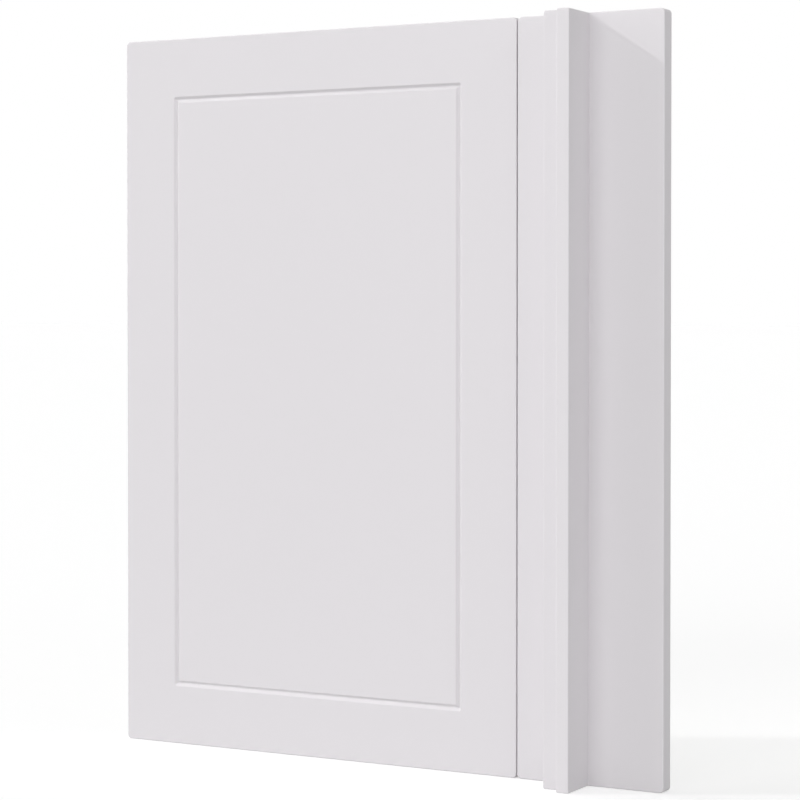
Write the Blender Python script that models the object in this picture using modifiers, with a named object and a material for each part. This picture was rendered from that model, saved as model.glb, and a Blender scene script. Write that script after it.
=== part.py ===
# Blind-corner cabinet front in one white finish: a door leaf with a routed groove, a fixed
# panel beside it, and a stepped corner post that stands on the panel.
# Metres. X runs along the front, -Y faces the room and +Z is up.
# The origin is the middle of the set's back plane, where it lies on the carcass.

import math

import bmesh
import bpy
from mathutils import Matrix, Vector

# Boards of the front
FRONT_HEIGHT = 0.716
DOOR_WIDTH = 0.447
PANEL_WIDTH = 0.149
REVEAL = 0.001
BOARD_THICKNESS = 0.016
BOARD_EDGE_RADIUS = 0.001
BOARD_FACE_CORNER_RADIUS = 0.003

# Groove routed round the door leaf
GROOVE_INSET = 0.058
GROOVE_WIDTH = 0.007
GROOVE_DEPTH = 0.002
GROOVE_WALL_STEPS = 4
GROOVE_CORNER_SEGMENTS = 6

# Corner post: two strips on edge, the corner strip standing further forward
POST_SETBACK = 0.043
BACKING_STRIP_WIDTH = 0.018
BACKING_STRIP_DEPTH = 0.0325
CORNER_STRIP_WIDTH = 0.0125
CORNER_STRIP_DEPTH = 0.0435
STRIP_EDGE_RADIUS = 0.0008
STRIP_FACE_CORNER_RADIUS = 0.0005
SEAT_GAP = 0.0003

# Countersunk screws, driven from behind through the panel into the strips
SCREW_LENGTH = 0.040
SCREW_SHANK_RADIUS = 0.002
SCREW_HEAD_RADIUS = 0.004
SCREW_HEAD_HEIGHT = 0.002
SCREW_TIP_LENGTH = 0.005
SCREW_CLEARANCE = 0.0003
SCREW_END_MARGIN = 0.060
SCREWS_PER_STRIP = 3

# Hinge drilling in the back of the door leaf, along its outer edge
CUP_RADIUS = 0.0175
CUP_DEPTH = 0.0125
CUP_EDGE_DISTANCE = 0.0225
CUP_END_DISTANCE = 0.100
PILOT_RADIUS = 0.0015
PILOT_DEPTH = 0.010
PILOT_OFFSET = 0.0095
PILOT_SPACING = 0.045

# Facets of the round shapes
ROUND_SEGMENTS = 6
CUP_SIDES = 48
PILOT_SIDES = 16
SCREW_SIDES = 24

# How far a cutter reaches past the face that it opens
CUTTER_OVERRUN = 0.001

# Points closer than this are one point
MERGE_DISTANCE = 0.00005

# Cosine above which two directions count as the same, and the angle of a sharp edge
SAME_DIRECTION = math.cos(math.radians(2.5))
SHARP_ANGLE = math.radians(35)

# Places that follow from the sizes above
SET_WIDTH = DOOR_WIDTH + REVEAL + PANEL_WIDTH
DOOR_LEFT = -SET_WIDTH / 2
PANEL_LEFT = DOOR_LEFT + DOOR_WIDTH + REVEAL
FRONT_PLANE = -BOARD_THICKNESS
BACKING_STRIP_LEFT = PANEL_LEFT + POST_SETBACK
CORNER_STRIP_LEFT = BACKING_STRIP_LEFT + BACKING_STRIP_WIDTH + SEAT_GAP
STRIP_BACK = FRONT_PLANE - SEAT_GAP


def clear_scene():
    for old in list(bpy.data.objects):
        bpy.data.objects.remove(old, do_unlink=True)


def new_collection(name):
    collection = bpy.data.collections.new(name)
    bpy.context.scene.collection.children.link(collection)
    return collection


def principled(name, colour, roughness, metallic=0.0):
    material = bpy.data.materials.new(name)
    material.use_nodes = True
    shader = material.node_tree.nodes["Principled BSDF"]
    shader.inputs["Base Color"].default_value = (*colour, 1.0)
    shader.inputs["Roughness"].default_value = roughness
    shader.inputs["Metallic"].default_value = metallic
    return material


def white_film(piece_name):
    return principled(piece_name + "_film", (0.74, 0.72, 0.74), roughness=0.45)


def zinc_steel(piece_name):
    return principled(piece_name + "_zinc", (0.60, 0.60, 0.62), roughness=0.35, metallic=1.0)


def add_object(name, bm, collection, material=None):
    mesh = bpy.data.meshes.new(name)
    bm.to_mesh(mesh)
    bm.free()
    piece = bpy.data.objects.new(name, mesh)
    collection.objects.link(piece)
    if material:
        mesh.materials.append(material)
    return piece


def add_cutter(name, bm, collection):
    cutter = add_object(name, bm, collection)
    cutter.hide_render = True
    cutter.display_type = 'WIRE'
    return cutter


def subtract(piece, cutter):
    cut = piece.modifiers.new("cut_" + cutter.name, 'BOOLEAN')
    cut.operation = 'DIFFERENCE'
    cut.solver = 'EXACT'
    cut.object = cutter


def shade_round(piece):
    piece.data.shade_smooth()
    piece.data.set_sharp_from_angle(angle=SHARP_ANGLE)


# A square-edged blank whose back face lies at y = back
def blank(left, width, depth, back):
    bm = bmesh.new()
    bmesh.ops.create_cube(bm, size=1.0)
    bmesh.ops.scale(bm, vec=(width, depth, FRONT_HEIGHT), verts=bm.verts)
    bmesh.ops.translate(bm, vec=(left + width / 2, back - depth / 2, 0.0), verts=bm.verts)
    return bm


def faces_room(face):
    return face.normal.y < -SAME_DIRECTION


# The widest face towards the room: the board's front, and once the groove has been begun,
# the field inside it
def widest_front(bm):
    bm.normal_update()
    return max(filter(faces_room, bm.faces), key=lambda face: face.calc_area())


# Round the four corners of the outline, then the rim of the front face; the back stays square.
# The front face keeps its own small corner radius inside the rounded rim.
def round_front(bm, edge_radius, face_corner_radius):
    along_depth = [edge for edge in bm.edges if is_outline_corner(edge)]
    bmesh.ops.bevel(bm, geom=along_depth, offset=face_corner_radius + edge_radius,
                    segments=ROUND_SEGMENTS, profile=0.5, affect='EDGES', material=-1)
    rim = [edge for edge in bm.edges if is_front_rim(edge)]
    bmesh.ops.bevel(bm, geom=rim, offset=edge_radius, segments=ROUND_SEGMENTS,
                    profile=0.5, affect='EDGES', material=-1)


def is_outline_corner(edge):
    start, end = (vert.co for vert in edge.verts)
    return abs((end - start).normalized().y) > SAME_DIRECTION


def is_front_rim(edge):
    forward = [face for face in edge.link_faces if faces_room(face)]
    sideways = [face for face in edge.link_faces if abs(face.normal.y) < 1 - SAME_DIRECTION]
    return len(forward) == 1 and len(sideways) == 1


# Depth of the groove at a share of the way across it: sloping walls, soft lips and bottom
def groove_profile(share):
    return GROOVE_DEPTH * (1.0 - math.cos(2.0 * math.pi * share)) / 2.0


# The cutter runs round a square path, so the groove's outer lip turns each corner on the
# cutter's radius, while its middle line and inner lip stay sharp
def rout_groove(bm):
    outline = widest_front(bm)
    rim = outline.edges[:]
    bmesh.ops.delete(bm, geom=[outline], context='FACES_ONLY')
    lip = groove_lip(bm)
    bmesh.ops.triangle_fill(bm, edges=rim + lip.edges[:], use_beauty=True)
    steps = 2 * GROOVE_WALL_STEPS
    for index in range(steps):
        fall = groove_profile((index + 1) / steps) - groove_profile(index / steps)
        bmesh.ops.inset_region(bm, faces=[widest_front(bm)], thickness=GROOVE_WIDTH / steps,
                               depth=-fall, use_even_offset=True)
        if index + 1 == GROOVE_WALL_STEPS:
            sharpen_middle_line(bm)
    bmesh.ops.recalc_face_normals(bm, faces=bm.faces)


# Draw each round corner's last points together on the corner of the cutter's path
def sharpen_middle_line(bm):
    half_width = DOOR_WIDTH / 2 - GROOVE_INSET - GROOVE_WIDTH / 2
    half_height = FRONT_HEIGHT / 2 - GROOVE_INSET - GROOVE_WIDTH / 2
    for side, end in ((-1, -1), (-1, 1), (1, -1), (1, 1)):
        corner = Vector((DOOR_LEFT + DOOR_WIDTH / 2 + side * half_width,
                         FRONT_PLANE + GROOVE_DEPTH, end * half_height))
        cluster = [vert for vert in widest_front(bm).verts
                   if (vert.co - corner).length < GROOVE_WIDTH / 2]
        bmesh.ops.pointmerge(bm, verts=cluster, merge_co=corner)


# The field inside the groove's outer lip, as one face with round corners
def groove_lip(bm):
    lip = bmesh.ops.create_grid(bm, x_segments=1, y_segments=1, size=0.5)["verts"]
    size = (DOOR_WIDTH - 2 * GROOVE_INSET, FRONT_HEIGHT - 2 * GROOVE_INSET, 1.0)
    bmesh.ops.scale(bm, vec=size, verts=lip)
    bmesh.ops.rotate(bm, matrix=Matrix.Rotation(math.radians(90), 3, 'X'), verts=lip)
    bmesh.ops.translate(bm, vec=(DOOR_LEFT + DOOR_WIDTH / 2, FRONT_PLANE, 0.0), verts=lip)
    bmesh.ops.bevel(bm, geom=lip, offset=GROOVE_WIDTH / 2, segments=GROOVE_CORNER_SEGMENTS,
                    profile=0.5, affect='VERTICES', material=-1)
    return widest_front(bm)


def round_hole(name, radius, sides, depth, x, z, collection):
    bm = bmesh.new()
    bmesh.ops.create_cone(bm, cap_ends=True, segments=sides, radius1=radius, radius2=radius,
                          depth=depth + CUTTER_OVERRUN)
    hole = add_cutter(name, bm, collection)
    hole.rotation_euler = (math.radians(90), 0.0, 0.0)
    hole.location = (x, (CUTTER_OVERRUN - depth) / 2, z)
    return hole


# One hinge: the cup bore and its two pilot holes, side by side up the door's edge
def drill_hinge(leaf, name, height, collection):
    cup_x = DOOR_LEFT + CUP_EDGE_DISTANCE
    subtract(leaf, round_hole(name + "_cup", CUP_RADIUS, CUP_SIDES, CUP_DEPTH,
                              cup_x, height, collection))
    for side, label in ((-1, "_lower_pilot"), (1, "_upper_pilot")):
        subtract(leaf, round_hole(name + label, PILOT_RADIUS, PILOT_SIDES, PILOT_DEPTH,
                                  cup_x + PILOT_OFFSET, height + side * PILOT_SPACING / 2,
                                  collection))


def door_leaf(parts, cutters):
    bm = blank(DOOR_LEFT, DOOR_WIDTH, BOARD_THICKNESS, back=0.0)
    round_front(bm, BOARD_EDGE_RADIUS, BOARD_FACE_CORNER_RADIUS)
    rout_groove(bm)
    leaf = add_object("door_leaf", bm, parts, white_film("door_leaf"))
    cup_height = FRONT_HEIGHT / 2 - CUP_END_DISTANCE
    drill_hinge(leaf, "upper_hinge", cup_height, cutters)
    drill_hinge(leaf, "lower_hinge", -cup_height, cutters)
    shade_round(leaf)
    return leaf


def fixed_panel(parts):
    bm = blank(PANEL_LEFT, PANEL_WIDTH, BOARD_THICKNESS, back=0.0)
    round_front(bm, BOARD_EDGE_RADIUS, BOARD_FACE_CORNER_RADIUS)
    panel = add_object("fixed_panel", bm, parts, white_film("fixed_panel"))
    shade_round(panel)
    return panel


def post_strip(name, left, width, depth, parts):
    bm = blank(left, width, depth, back=STRIP_BACK)
    round_front(bm, STRIP_EDGE_RADIUS, STRIP_FACE_CORNER_RADIUS)
    strip = add_object(name, bm, parts, white_film(name))
    shade_round(strip)
    return strip


# Half outline of a countersunk screw, head up, grown by a clearance; overrun carries the
# head's cone on past its top, so that the same outline cuts the screw's own hole
def screw_outline(clearance, overrun):
    head_top = overrun
    flare = (SCREW_HEAD_RADIUS - SCREW_SHANK_RADIUS) / SCREW_HEAD_HEIGHT
    wall = clearance * math.hypot(1.0, flare)
    foot = -SCREW_LENGTH - clearance
    neck = -SCREW_HEAD_HEIGHT - (wall - clearance) / flare
    return [(0.0, head_top),
            (SCREW_HEAD_RADIUS + wall + overrun * flare, head_top),
            (SCREW_SHANK_RADIUS + clearance, neck),
            (SCREW_SHANK_RADIUS + clearance, foot + SCREW_TIP_LENGTH),
            (0.0, foot)]


def turned(name, outline, collection, material=None):
    bm = bmesh.new()
    rim = [bm.verts.new((radius, 0.0, height)) for radius, height in outline]
    for upper, lower in zip(rim, rim[1:]):
        bm.edges.new((upper, lower))
    piece = add_object(name, bm, collection, material)
    turn = piece.modifiers.new("turn", 'SCREW')
    turn.steps = SCREW_SIDES
    turn.render_steps = SCREW_SIDES
    turn.use_merge_vertices = True
    turn.merge_threshold = MERGE_DISTANCE
    return piece


# Lay a turned piece on the back plane, head outwards
def drive_from_behind(piece, x, z):
    piece.rotation_euler = (math.radians(-90), 0.0, 0.0)
    piece.location = (x, -SCREW_CLEARANCE, z)


def post_screw(name, x, z, strip, panel, parts, cutters):
    screw = turned(name, screw_outline(0.0, 0.0), parts, zinc_steel(name))
    drive_from_behind(screw, x, z)
    hole = turned(name + "_hole", screw_outline(SCREW_CLEARANCE, CUTTER_OVERRUN), cutters)
    hole.hide_render = True
    hole.display_type = 'WIRE'
    drive_from_behind(hole, x, z)
    subtract(panel, hole)
    subtract(strip, hole)


def screw_row(label, x, strip, panel, parts, cutters):
    lowest = -FRONT_HEIGHT / 2 + SCREW_END_MARGIN
    pitch = (FRONT_HEIGHT - 2 * SCREW_END_MARGIN) / (SCREWS_PER_STRIP - 1)
    for index in range(SCREWS_PER_STRIP):
        post_screw(f"{label}_screw_{index + 1}", x, lowest + index * pitch,
                   strip, panel, parts, cutters)


def main():
    clear_scene()
    parts = new_collection("corner_cabinet_front")
    cutters = new_collection("cutters")
    door_leaf(parts, cutters)
    panel = fixed_panel(parts)
    backing = post_strip("backing_strip", BACKING_STRIP_LEFT, BACKING_STRIP_WIDTH,
                         BACKING_STRIP_DEPTH, parts)
    corner = post_strip("corner_strip", CORNER_STRIP_LEFT, CORNER_STRIP_WIDTH,
                        CORNER_STRIP_DEPTH, parts)
    screw_row("backing", BACKING_STRIP_LEFT + BACKING_STRIP_WIDTH / 2, backing, panel,
              parts, cutters)
    screw_row("corner", CORNER_STRIP_LEFT + CORNER_STRIP_WIDTH / 2, corner, panel,
              parts, cutters)


main()
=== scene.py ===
import math
import bmesh
import bpy
from mathutils import Matrix, Vector


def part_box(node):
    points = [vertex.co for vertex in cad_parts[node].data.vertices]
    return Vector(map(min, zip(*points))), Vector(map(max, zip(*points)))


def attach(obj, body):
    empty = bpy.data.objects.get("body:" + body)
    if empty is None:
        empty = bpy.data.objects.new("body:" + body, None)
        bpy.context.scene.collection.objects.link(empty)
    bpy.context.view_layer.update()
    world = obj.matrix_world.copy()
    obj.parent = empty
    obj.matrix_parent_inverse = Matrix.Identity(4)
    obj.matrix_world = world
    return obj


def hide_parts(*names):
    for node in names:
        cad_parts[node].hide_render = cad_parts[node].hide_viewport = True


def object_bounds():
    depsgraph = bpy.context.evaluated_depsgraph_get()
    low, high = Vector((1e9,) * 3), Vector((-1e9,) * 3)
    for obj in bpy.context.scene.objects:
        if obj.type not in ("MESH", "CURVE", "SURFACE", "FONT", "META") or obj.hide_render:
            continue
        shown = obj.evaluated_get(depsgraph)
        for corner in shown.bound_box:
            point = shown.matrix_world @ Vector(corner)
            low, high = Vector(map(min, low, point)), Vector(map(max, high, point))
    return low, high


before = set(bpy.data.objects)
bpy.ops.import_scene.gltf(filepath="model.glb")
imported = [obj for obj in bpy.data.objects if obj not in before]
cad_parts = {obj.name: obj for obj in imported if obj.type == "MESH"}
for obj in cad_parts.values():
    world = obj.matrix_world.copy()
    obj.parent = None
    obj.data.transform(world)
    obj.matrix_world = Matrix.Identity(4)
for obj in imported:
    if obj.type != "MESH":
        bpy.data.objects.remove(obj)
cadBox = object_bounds()
print("frame loaded:", len(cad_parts), "nodes")


# Small tools

def linearColour(hexColour):
    # sRGB hex to the linear colour that a socket takes
    channels = [int(hexColour[i:i + 2], 16) / 255 for i in (0, 2, 4)]
    linear = [c / 12.92 if c <= 0.04045 else ((c + 0.055) / 1.055) ** 2.4 for c in channels]
    return (*linear, 1.0)


def addNode(owner, kind, settings=None, inputs=None):
    # one node, its settings, and its inputs given as values or as sockets to link from
    tree = owner.node_tree
    node = tree.nodes.new(kind)
    for name, value in (settings or {}).items():
        setattr(node, name, value)
    for name, value in (inputs or {}).items():
        if isinstance(value, bpy.types.NodeSocket):
            tree.links.new(value, node.inputs[name])
        else:
            node.inputs[name].default_value = value
    return node


def newMaterial(name):
    material = bpy.data.materials.new(name)
    material.use_nodes = True
    shader = material.node_tree.nodes["Principled BSDF"]
    return material, shader


shading = {
    "sharpAngle": 35,       # degrees between faces, past which an edge is shaded sharp
}


def finishPiece(name, bm, materials, node):
    # the mesh is already in place, so the object stays at the origin
    bmesh.ops.recalc_face_normals(bm, faces=bm.faces)
    mesh = bpy.data.meshes.new(name)
    bm.to_mesh(mesh)
    bm.free()
    for material in materials:
        mesh.materials.append(material)
    mesh.shade_smooth()
    mesh.set_sharp_from_angle(angle=math.radians(shading["sharpAngle"]))
    piece = bpy.data.objects.new(name, mesh)
    bpy.context.scene.collection.objects.link(piece)
    # keeps the broad faces flat beside the roundings
    evenOut = piece.modifiers.new("flatFaces", 'WEIGHTED_NORMAL')
    evenOut.keep_sharp = True
    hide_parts(node)
    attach(piece, "root")
    print("made", name, len(mesh.polygons), "faces")


# Materials

foil = {
    "colour": "DEDBDE",
    "roughness": 0.46,
    "roughnessDrift": 0.02,
    "ior": 1.5,
    "peelMm": 1.6,          # pitch of the faint peel that a pressed foil takes from the board
    "peelHeightMm": 0.006,
    "pressMm": 45,          # slow unevenness of the press, seen only where light grazes
    "pressHeightMm": 0.01,
}


def mattPvcFoil():
    # White matt PVC foil, vacuum pressed over fibreboard: an even, soft white that has
    # almost no gloss, with a faint peel where the light rakes along it
    material, shader = newMaterial("mattPvcFoil")
    place = addNode(material, "ShaderNodeTexCoord")
    peel = addNode(material, "ShaderNodeTexNoise",
                   inputs={"Vector": place.outputs["Object"], "Scale": 1000 / foil["peelMm"],
                           "Detail": 2.0, "Roughness": 0.4})
    press = addNode(material, "ShaderNodeTexNoise",
                    inputs={"Vector": place.outputs["Object"], "Scale": 1000 / foil["pressMm"],
                            "Detail": 1.0, "Roughness": 0.3})
    broad = addNode(material, "ShaderNodeBump",
                    inputs={"Height": press.outputs["Fac"], "Strength": 1.0,
                            "Distance": foil["pressHeightMm"] / 1000})
    fine = addNode(material, "ShaderNodeBump",
                   inputs={"Height": peel.outputs["Fac"], "Strength": 1.0,
                           "Distance": foil["peelHeightMm"] / 1000,
                           "Normal": broad.outputs["Normal"]})
    sheen = addNode(material, "ShaderNodeMapRange",
                    inputs={"Value": press.outputs["Fac"],
                            "To Min": foil["roughness"] - foil["roughnessDrift"],
                            "To Max": foil["roughness"] + foil["roughnessDrift"]})
    material.node_tree.links.new(fine.outputs["Normal"], shader.inputs["Normal"])
    material.node_tree.links.new(sheen.outputs["Result"], shader.inputs["Roughness"])
    shader.inputs["Base Color"].default_value = linearColour(foil["colour"])
    shader.inputs["IOR"].default_value = foil["ior"]
    return material


backing = {
    "colour": "E4E3DF",
    "roughness": 0.38,
    "ior": 1.5,
    "pearlMm": 0.9,         # the fine pearl that melamine is pressed with
    "pearlHeightMm": 0.01,
}


def whiteMelamine():
    # Melamine paper on the boards' backs: a warmer, slightly glossier white with a fine pearl
    material, shader = newMaterial("whiteMelamine")
    place = addNode(material, "ShaderNodeTexCoord")
    pearl = addNode(material, "ShaderNodeTexVoronoi", settings={"feature": 'SMOOTH_F1'},
                    inputs={"Vector": place.outputs["Object"], "Scale": 1000 / backing["pearlMm"]})
    relief = addNode(material, "ShaderNodeBump",
                     inputs={"Height": pearl.outputs["Distance"], "Strength": 1.0,
                             "Distance": backing["pearlHeightMm"] / 1000})
    material.node_tree.links.new(relief.outputs["Normal"], shader.inputs["Normal"])
    shader.inputs["Base Color"].default_value = linearColour(backing["colour"])
    shader.inputs["Roughness"].default_value = backing["roughness"]
    shader.inputs["IOR"].default_value = backing["ior"]
    return material


fibreboard = {
    "light": "E0C090",
    "dark": "6E4B2A",
    "roughness": 0.9,
    "ior": 1.45,
    "fibreMm": 4.5,         # bundles of fibre, drawn coarser than they are so that they show
    "fibreHeightMm": 0.15,
}


def cutFibreboard():
    # Bare MDF where a cutter has been: brown, dry and furry, with short mixed fibres
    material, shader = newMaterial("cutFibreboard")
    place = addNode(material, "ShaderNodeTexCoord")
    fibre = addNode(material, "ShaderNodeTexNoise",
                    inputs={"Vector": place.outputs["Object"],
                            "Scale": 1000 / fibreboard["fibreMm"],
                            "Detail": 6.0, "Roughness": 0.7, "Distortion": 1.5})
    tint = addNode(material, "ShaderNodeMix", settings={"data_type": 'RGBA'},
                   inputs={"Factor": fibre.outputs["Fac"]})
    tint.inputs["A"].default_value = linearColour(fibreboard["dark"])
    tint.inputs["B"].default_value = linearColour(fibreboard["light"])
    fur = addNode(material, "ShaderNodeBump",
                  inputs={"Height": fibre.outputs["Fac"], "Strength": 1.0,
                          "Distance": fibreboard["fibreHeightMm"] / 1000})
    material.node_tree.links.new(tint.outputs["Result"], shader.inputs["Base Color"])
    material.node_tree.links.new(fur.outputs["Normal"], shader.inputs["Normal"])
    shader.inputs["Roughness"].default_value = fibreboard["roughness"]
    shader.inputs["IOR"].default_value = fibreboard["ior"]
    return material


zinc = {
    "colour": "C8C9CC",
    "polished": 0.22,       # roughness where the plating is brightest
    "cloudy": 0.44,         # and where it is dullest
    "cloudMm": 0.7,
}


def brightZinc():
    # Bright zinc plating on steel: a grey metal with small cloudy changes in its polish
    material, shader = newMaterial("brightZinc")
    place = addNode(material, "ShaderNodeTexCoord")
    cloud = addNode(material, "ShaderNodeTexNoise",
                    inputs={"Vector": place.outputs["Object"], "Scale": 1000 / zinc["cloudMm"],
                            "Detail": 3.0})
    polish = addNode(material, "ShaderNodeMapRange",
                     inputs={"Value": cloud.outputs["Fac"], "To Min": zinc["polished"],
                             "To Max": zinc["cloudy"]})
    material.node_tree.links.new(polish.outputs["Result"], shader.inputs["Roughness"])
    shader.inputs["Base Color"].default_value = linearColour(zinc["colour"])
    shader.inputs["Metallic"].default_value = 1.0
    return material


foilFinish = mattPvcFoil()
backFinish = whiteMelamine()
bareFinish = cutFibreboard()
zincFinish = brightZinc()
boardFinishes = [foilFinish, backFinish, bareFinish]
backSlot, bareSlot = 1, 2   # places in that list; what isn't given one keeps the foil
print("materials ready:", len(boardFinishes) + 1)


# Boards

board = {
    "edgeRadius": 0.001,
    "faceCorner": 0.003,    # corner radius left on the front face, inside the rounded rim
    "roundSegments": 10,
    "foilThickness": 0.0004,
    "flatMargin": 0.0003,   # a narrow border beside each rounding, so that the flats stay flat
}


direction = {
    "along": 0.999,         # share of an axis past which a face or an edge lies along it
    "across": 0.001,        # and below which it lies across it
}


def blankIn(low, high):
    bm = bmesh.new()
    bmesh.ops.create_cube(bm, size=1.0)
    bmesh.ops.scale(bm, vec=high - low, verts=bm.verts)
    bmesh.ops.translate(bm, vec=(low + high) / 2, verts=bm.verts)
    return bm


def runsInDepth(edge):
    start, end = (vert.co for vert in edge.verts)
    return abs((end - start).normalized().y) > direction["along"]


def isFrontRim(edge):
    forward = [face for face in edge.link_faces if -face.normal.y > direction["along"]]
    sideways = [face for face in edge.link_faces if abs(face.normal.y) < direction["across"]]
    return len(forward) == 1 and len(sideways) == 1


def roundFront(bm, piece):
    # the outline's corners first, then the rim of the front; the back stays square
    bmesh.ops.bevel(bm, geom=[edge for edge in bm.edges if runsInDepth(edge)],
                    offset=piece["edgeRadius"] + piece["faceCorner"],
                    segments=piece["roundSegments"], profile=0.5,
                    affect='EDGES', material=-1)
    bmesh.ops.bevel(bm, geom=[edge for edge in bm.edges if isFrontRim(edge)],
                    offset=piece["edgeRadius"],
                    segments=piece["roundSegments"], profile=0.5,
                    affect='EDGES', material=-1)
    bmesh.ops.inset_region(bm, faces=[broadFace(bm, -1)], thickness=board["flatMargin"],
                           use_even_offset=True)


def broadFace(bm, side):
    # the largest face that looks along +Y, the back, or -Y, the front
    bm.normal_update()
    looking = [face for face in bm.faces if face.normal.y * side > direction["along"]]
    return max(looking, key=lambda face: face.calc_area())


def coverBack(bm):
    # the foil ends flush with the back, so its cut edge frames the melamine
    back = broadFace(bm, 1)
    bmesh.ops.inset_region(bm, faces=[back], thickness=board["foilThickness"],
                           use_even_offset=True)
    back = broadFace(bm, 1)
    back.material_index = backSlot
    return back


def circleLoop(bm, radius, sides, centre):
    turn = Matrix.Translation(centre) @ Matrix.Rotation(math.radians(90), 4, 'X')
    ring = bmesh.ops.create_circle(bm, cap_ends=False, segments=sides, radius=radius, matrix=turn)
    return list(dict.fromkeys(edge for vert in ring["verts"] for edge in vert.link_edges))


def growLoop(bm, loop):
    # a wall grown out of a loop of edges; gives back the loop and the points of its far side
    grown = bmesh.ops.extrude_edge_only(bm, edges=loop)["geom"]
    verts = [item for item in grown if isinstance(item, bmesh.types.BMVert)]
    edges = [item for item in grown if isinstance(item, bmesh.types.BMEdge)
             and all(vert in verts for vert in item.verts)]
    return edges, verts


def sinkLoop(bm, loop, depth):
    # bare walls down from a loop of edges; gives back the loop and the points at their foot
    edges, verts = growLoop(bm, loop)
    bmesh.ops.translate(bm, vec=(0.0, -depth, 0.0), verts=verts)
    for edge in edges:
        for face in edge.link_faces:
            face.material_index = bareSlot
    return edges, verts


def drillHole(bm, loop, hole):
    # a flat-bottomed bore, with the small cone that the drill's point may leave
    foot = sinkLoop(bm, loop, hole["depth"])[0]
    floor = bmesh.ops.contextual_create(bm, geom=foot)["faces"]
    for face in floor:
        face.material_index = bareSlot
    if "point" in hole:
        point = hole["point"]
        bmesh.ops.inset_region(bm, faces=floor, thickness=hole["radius"] - point["radius"],
                               use_even_offset=True)
        inner = bmesh.ops.poke(bm, faces=floor)
        bmesh.ops.translate(bm, vec=(0.0, -point["depth"], 0.0), verts=inner["verts"])


def openBack(bm, back, holes):
    # cut the mouths of the holes out of the back face, then sink each hole
    outline = back.edges[:]
    bmesh.ops.delete(bm, geom=[back], context='FACES_ONLY')
    loops = [circleLoop(bm, hole["radius"], hole["sides"], hole["centre"]) for hole in holes]
    mouths = [edge for loop in loops for edge in loop]
    filled = bmesh.ops.triangle_fill(bm, edges=outline + mouths, use_beauty=True)["geom"]
    for item in filled:
        if isinstance(item, bmesh.types.BMFace):
            item.material_index = backSlot
    for hole, loop in zip(holes, loops):
        hole["sink"](bm, loop, hole)


groove = {
    "inset": 0.058,
    "width": 0.007,
    "depth": 0.002,
    "wallSteps": 10,
}

hinge = {
    "cupRadius": 0.0175,
    "cupDepth": 0.0125,
    "cupFromEdge": 0.0225,
    "cupFromEnd": 0.1,
    "cupSides": 96,
    "point": {"radius": 0.0012, "depth": 0.001},
    "pilotRadius": 0.0015,
    "pilotDepth": 0.01,
    "pilotInboard": 0.0095,
    "pilotSpacing": 0.045,
    "pilotSides": 24,
}


def grooveDepthAt(share):
    # the section is one wave of a cosine across the groove's width
    return groove["depth"] * (1 - math.cos(2 * math.pi * share)) / 2


def routGroove(bm, low, high):
    # the middle field is stepped down and up again, so the groove is part of the one skin
    front = broadFace(bm, -1)
    rim = front.edges[:]
    bmesh.ops.delete(bm, geom=[front], context='FACES_ONLY')
    centre = Vector(((low.x + high.x) / 2, low.y, (low.z + high.z) / 2))
    lip = bmesh.ops.create_grid(bm, x_segments=1, y_segments=1, size=0.5)["verts"]
    size = (high.x - low.x - 2 * groove["inset"], high.z - low.z - 2 * groove["inset"], 1.0)
    bmesh.ops.scale(bm, vec=size, verts=lip)
    bmesh.ops.rotate(bm, matrix=Matrix.Rotation(math.radians(90), 3, 'X'), verts=lip)
    bmesh.ops.translate(bm, vec=centre, verts=lip)
    bmesh.ops.bevel(bm, geom=lip, offset=groove["width"] / 2, segments=board["roundSegments"],
                    profile=0.5, affect='VERTICES', material=-1)
    field = broadFace(bm, -1)
    bmesh.ops.bridge_loops(bm, edges=rim + field.edges[:])
    steps = 2 * groove["wallSteps"]
    for index in range(steps):
        fall = grooveDepthAt((index + 1) / steps) - grooveDepthAt(index / steps)
        bmesh.ops.inset_region(bm, faces=[broadFace(bm, -1)],
                               thickness=groove["width"] / steps, depth=-fall,
                               use_even_offset=True)
        if index + 1 == groove["wallSteps"]:
            sharpenMiddleLine(bm, centre, size)


def sharpenMiddleLine(bm, centre, size):
    # the cutter turns on the spot at each corner of its path
    for side, end in ((-1, -1), (-1, 1), (1, -1), (1, 1)):
        corner = Vector((centre.x + side * (size[0] - groove["width"]) / 2,
                         centre.y + groove["depth"],
                         centre.z + end * (size[1] - groove["width"]) / 2))
        cluster = [vert for vert in broadFace(bm, -1).verts
                   if (vert.co - corner).length < groove["width"] / 2]
        bmesh.ops.pointmerge(bm, verts=cluster, merge_co=corner)


def hingeHoles(low, high):
    cupX = low.x + hinge["cupFromEdge"]
    holes = []
    for cupZ in (low.z + hinge["cupFromEnd"], high.z - hinge["cupFromEnd"]):
        holes.append({"centre": Vector((cupX, high.y, cupZ)), "radius": hinge["cupRadius"],
                      "sides": hinge["cupSides"], "sink": drillHole,
                      "depth": hinge["cupDepth"], "point": hinge["point"]})
        for side in (-1, 1):
            pilot = Vector((cupX + hinge["pilotInboard"], high.y,
                            cupZ + side * hinge["pilotSpacing"] / 2))
            holes.append({"centre": pilot, "radius": hinge["pilotRadius"],
                          "sides": hinge["pilotSides"], "sink": drillHole,
                          "depth": hinge["pilotDepth"]})
    return holes


def makeDoorLeaf():
    low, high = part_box("door_leaf")
    bm = blankIn(low, high)
    roundFront(bm, board)
    openBack(bm, coverBack(bm), hingeHoles(low, high))
    routGroove(bm, low, high)
    finishPiece("doorLeaf", bm, boardFinishes, "door_leaf")


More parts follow.
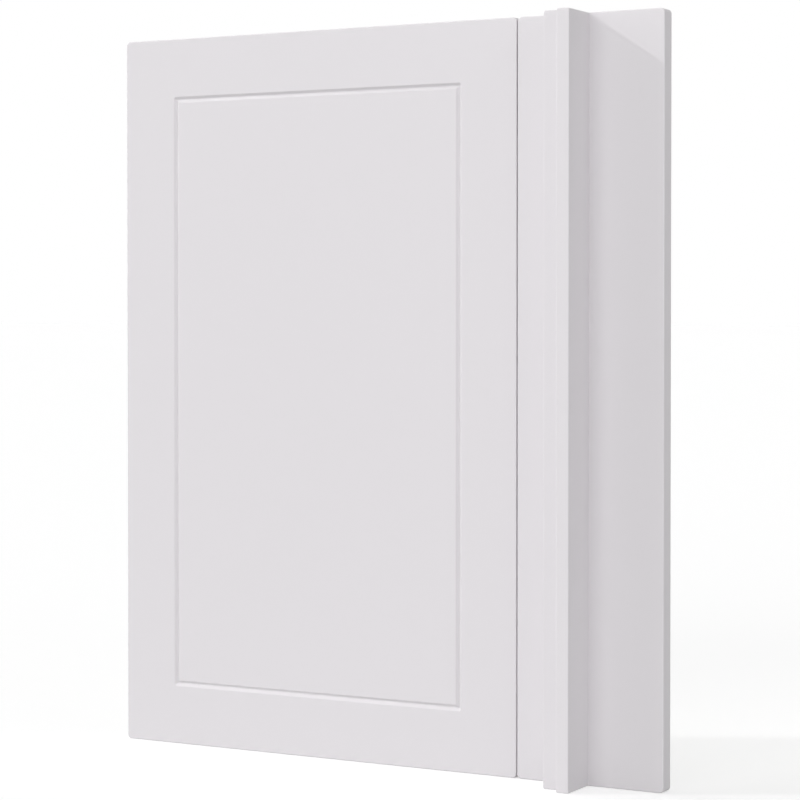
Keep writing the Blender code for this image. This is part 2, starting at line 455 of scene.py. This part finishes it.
screw = {
    "shankRadius": 0.002,
    "headRadius": 0.004,
    "headHeight": 0.002,
    "headRim": 0.0003,      # the upright rim above the countersunk cone
    "length": 0.04,
    "tipLength": 0.005,
    "clearance": 0.0003,
    "sides": 48,
    "crossLength": 0.0021,  # half the length and half the width of the recess's arms
    "crossWidth": 0.0006,
    "crossDepth": 0.0017,
    "crossTaper": 0.45,     # what is left of that size at the foot of the recess
    "weld": 0.00001,
}

screwNodes = ["backing_screw_1", "backing_screw_2", "backing_screw_3",
              "corner_screw_1", "corner_screw_2", "corner_screw_3"]


def screwAxis(node):
    low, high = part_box(node)
    return Vector(((low.x + high.x) / 2, high.y, (low.z + high.z) / 2))


def sinkScrewHole(bm, loop, hole):
    # countersink down to the shank's hole, which runs on through the panel
    mouth = screw["headRadius"] + screw["clearance"]
    neck = screw["shankRadius"] + screw["clearance"]
    foot, verts = sinkLoop(bm, loop, mouth - neck)
    bmesh.ops.scale(bm, vec=(neck / mouth, 1.0, neck / mouth), verts=verts,
                    space=Matrix.Translation(-hole["centre"]))
    through = hole["centre"].y - hole["front"] - (mouth - neck)
    hole["exit"] = sinkLoop(bm, foot, through)[0]


def screwHoles(panelLow, panelHigh):
    holes = []
    for node in screwNodes:
        axis = screwAxis(node)
        holes.append({"centre": Vector((axis.x, panelHigh.y, axis.z)),
                      "radius": screw["headRadius"] + screw["clearance"],
                      "sides": screw["sides"], "sink": sinkScrewHole,
                      "front": panelLow.y})
    return holes


def openFront(bm, holes):
    # the shanks leave the panel here, under the strips
    front = broadFace(bm, -1)
    outline = front.edges[:]
    bmesh.ops.delete(bm, geom=[front], context='FACES_ONLY')
    exits = [edge for hole in holes for edge in hole["exit"]]
    bmesh.ops.triangle_fill(bm, edges=outline + exits, use_beauty=True)


def makeFixedPanel():
    low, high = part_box("fixed_panel")
    bm = blankIn(low, high)
    roundFront(bm, board)
    holes = screwHoles(low, high)
    openBack(bm, coverBack(bm), holes)
    openFront(bm, holes)
    finishPiece("fixedPanel", bm, boardFinishes, "fixed_panel")


strip = {
    "edgeRadius": 0.0008,
    "faceCorner": 0.0005,
    "roundSegments": 10,
}


def stripHoles(node, back):
    # as deep as the strip's own screws reach, with their clearance
    which = node.removesuffix("_strip")
    holes = []
    for axis in [screwAxis(name) for name in screwNodes if name.startswith(which)]:
        holes.append({"centre": Vector((axis.x, back, axis.z)),
                      "radius": screw["shankRadius"] + screw["clearance"],
                      "sides": screw["sides"], "sink": drillHole,
                      "depth": screw["length"] + screw["clearance"] - (axis.y - back)})
    return holes


def makeStrip(name, node):
    low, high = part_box(node)
    high.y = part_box("fixed_panel")[0].y  # screwed down: it meets the panel
    bm = blankIn(low, high)
    roundFront(bm, strip)
    openBack(bm, broadFace(bm, 1), stripHoles(node, high.y))
    finishPiece(name, bm, boardFinishes, node)


def crossOutline(bm):
    # a grid of nine faces, its inner lines moved in to the arms' width, less its four corners;
    # the drive recess is sunk from the outline of what is left
    grid = bmesh.ops.create_grid(bm, x_segments=3, y_segments=3, size=screw["crossLength"])
    verts = grid["verts"]
    for vert in verts:
        for axis in (0, 1):
            if abs(vert.co[axis]) < screw["crossLength"] / 2:
                vert.co[axis] = math.copysign(screw["crossWidth"], vert.co[axis])
    faces = list(dict.fromkeys(face for vert in verts for face in vert.link_faces))
    middles = [face.calc_center_median() for face in faces]
    corners = [face for face, middle in zip(faces, middles)
               if min(abs(middle.x), abs(middle.y)) > screw["crossWidth"]]
    bmesh.ops.delete(bm, geom=corners, context='FACES')
    faces = [face for face in faces if face.is_valid]
    edges = list(dict.fromkeys(edge for face in faces for edge in face.edges))
    outline = [edge for edge in edges if edge.is_boundary]
    inner = [edge for edge in edges if not edge.is_boundary]
    bmesh.ops.delete(bm, geom=faces, context='FACES_ONLY')
    bmesh.ops.delete(bm, geom=inner, context='EDGES')
    return outline


def makeScrew(node):
    axis = screwAxis(node)
    bm = bmesh.new()
    profile = [(screw["headRadius"], 0.0),
               (screw["headRadius"], -screw["headRim"]),
               (screw["shankRadius"], -screw["headHeight"]),
               (screw["shankRadius"], -screw["length"] + screw["tipLength"]),
               (0.0, -screw["length"])]
    verts = [bm.verts.new((radius, 0.0, height)) for radius, height in profile]
    edges = [bm.edges.new(pair) for pair in zip(verts, verts[1:])]
    bmesh.ops.spin(bm, geom=verts + edges, cent=(0, 0, 0), axis=(0, 0, 1),
                   angle=math.radians(360), steps=screw["sides"], use_merge=True)
    bmesh.ops.remove_doubles(bm, verts=bm.verts, dist=screw["weld"])
    rim = [edge for edge in bm.edges if edge.is_boundary]
    cross = crossOutline(bm)
    bmesh.ops.triangle_fill(bm, edges=rim + cross, use_beauty=True)
    foot, verts = growLoop(bm, cross)
    bmesh.ops.scale(bm, vec=(screw["crossTaper"], screw["crossTaper"], 1.0), verts=verts)
    bmesh.ops.translate(bm, vec=(0, 0, -screw["crossDepth"]), verts=verts)
    bmesh.ops.contextual_create(bm, geom=foot)
    # turned so that the head looks out of the panel's back
    bmesh.ops.rotate(bm, matrix=Matrix.Rotation(math.radians(-90), 3, 'X'), verts=bm.verts)
    bmesh.ops.translate(bm, vec=axis, verts=bm.verts)
    which, number = node.split("_screw_")
    finishPiece(f"{which}Screw{number}", bm, [zincFinish], node)


makeDoorLeaf()
makeFixedPanel()
makeStrip("backingStrip", "backing_strip")
makeStrip("cornerStrip", "corner_strip")
for node in screwNodes:
    makeScrew(node)


# Camera, floor and light

view = {
    "place": (1.1788, -2.0807, 0.0840),
    "azimuth": 29.236,      # degrees to the object's right
    "pitch": -1.0,          # degrees up
    "lens": 110.39,         # mm, on a sensor of this width
    "sensor": 36,
    "shiftY": -0.0597,
    "seesTo": 200,          # metres, past the floor's far edge
}


def makeCamera():
    camera = bpy.data.objects.new("camera", bpy.data.cameras.new("camera"))
    bpy.context.scene.collection.objects.link(camera)
    camera.location = view["place"]
    camera.rotation_euler = (math.radians(90 + view["pitch"]), 0.0, math.radians(view["azimuth"]))
    camera.data.lens = view["lens"]
    camera.data.sensor_width = view["sensor"]
    camera.data.shift_y = view["shiftY"]
    camera.data.clip_end = view["seesTo"]
    bpy.context.scene.camera = camera


light = {
    "surround": 0.285,      # what falls on the object from all around; white where it is seen
    "keyFrom": (-0.758, -0.41, 0.504),
    "keyStrength": 0.688,
    "keyAngle": 2.0,
    # degrees to the object's right, degrees up, strength, angle of the soft edge
    "softboxes": [(-80, 12, 1.25, 50), (-80, 50, 0.39, 50), (0, 12, 1.45, 50),
                  (40, 12, 0.44, 50), (80, 12, 0.78, 50), (-172, 5, 2.05, 14)],
}


def isSeen(owner):
    # 1 for what the camera sees straight, in a gloss or through glass
    path = addNode(owner, "ShaderNodeLightPath")
    glossy = addNode(owner, "ShaderNodeMath", settings={"operation": 'MAXIMUM'})
    seen = addNode(owner, "ShaderNodeMath", settings={"operation": 'MAXIMUM'})
    links = owner.node_tree.links
    links.new(path.outputs["Is Camera Ray"], glossy.inputs[0])
    links.new(path.outputs["Is Glossy Ray"], glossy.inputs[1])
    links.new(glossy.outputs[0], seen.inputs[0])
    links.new(path.outputs["Is Transmission Ray"], seen.inputs[1])
    return seen.outputs[0]


def makeWorld():
    world = bpy.data.worlds.new("studio")
    bpy.context.scene.world = world
    world.use_nodes = True
    tree = world.node_tree
    tree.nodes.clear()
    level = addNode(world, "ShaderNodeMapRange",
                    inputs={"Value": isSeen(world), "To Min": light["surround"], "To Max": 1.0})
    surround = addNode(world, "ShaderNodeBackground", inputs={"Strength": level.outputs["Result"]})
    surround.inputs["Color"].default_value = (1, 1, 1, 1)
    addNode(world, "ShaderNodeOutputWorld", inputs={"Surface": surround.outputs[0]})


def addSun(name, towards, strength, angle):
    sun = bpy.data.objects.new(name, bpy.data.lights.new(name, 'SUN'))
    bpy.context.scene.collection.objects.link(sun)
    sun.data.energy = strength
    sun.data.angle = math.radians(angle)
    sun.rotation_euler = Vector(towards).to_track_quat('Z', 'Y').to_euler()


def makeLights():
    addSun("key", light["keyFrom"], light["keyStrength"], light["keyAngle"])
    for index, (azimuth, height, strength, angle) in enumerate(light["softboxes"]):
        across, up = math.radians(azimuth), math.radians(height)
        level = math.cos(up)
        towards = (math.sin(across) * level, -math.cos(across) * level, math.sin(up))
        addSun(f"softbox{index + 1}", towards, strength, angle)


floorLook = {
    "halfWidth": 60,        # metres, so that its edge is never in view
    "bounce": "B4B4B4",     # what lights the object from below
    "seen": "CBCBCB",
    "lift": 0.5,            # brings the seen floor up to white, under a pale shadow
}


def makeFloor():
    bm = bmesh.new()
    bmesh.ops.create_grid(bm, x_segments=1, y_segments=1, size=floorLook["halfWidth"])
    bmesh.ops.translate(bm, vec=(0, 0, cadBox[0].z), verts=bm.verts)
    mesh = bpy.data.meshes.new("floor")
    bm.to_mesh(mesh)
    bm.free()
    floor = bpy.data.objects.new("floor", mesh)
    bpy.context.scene.collection.objects.link(floor)
    material, shader = newMaterial("paleFloor")
    tree = material.node_tree
    seen = isSeen(material)
    matt = addNode(material, "ShaderNodeBsdfDiffuse")
    tint = addNode(material, "ShaderNodeMix", settings={"data_type": 'RGBA'},
                   inputs={"Factor": seen})
    tint.inputs["A"].default_value = linearColour(floorLook["bounce"])
    tint.inputs["B"].default_value = linearColour(floorLook["seen"])
    tree.links.new(tint.outputs["Result"], matt.inputs["Color"])
    lift = addNode(material, "ShaderNodeMath", settings={"operation": 'MULTIPLY'})
    tree.links.new(seen, lift.inputs[0])
    lift.inputs[1].default_value = floorLook["lift"]
    glow = addNode(material, "ShaderNodeEmission", inputs={"Strength": lift.outputs[0]})
    both = addNode(material, "ShaderNodeAddShader")
    tree.links.new(matt.outputs[0], both.inputs[0])
    tree.links.new(glow.outputs[0], both.inputs[1])
    tree.links.new(both.outputs[0], tree.nodes["Material Output"].inputs["Surface"])
    tree.nodes.remove(shader)
    mesh.materials.append(material)


makeCamera()
makeWorld()
makeLights()
makeFloor()
bpy.context.scene.view_settings.view_transform = 'Standard'
print("camera, light and floor set")
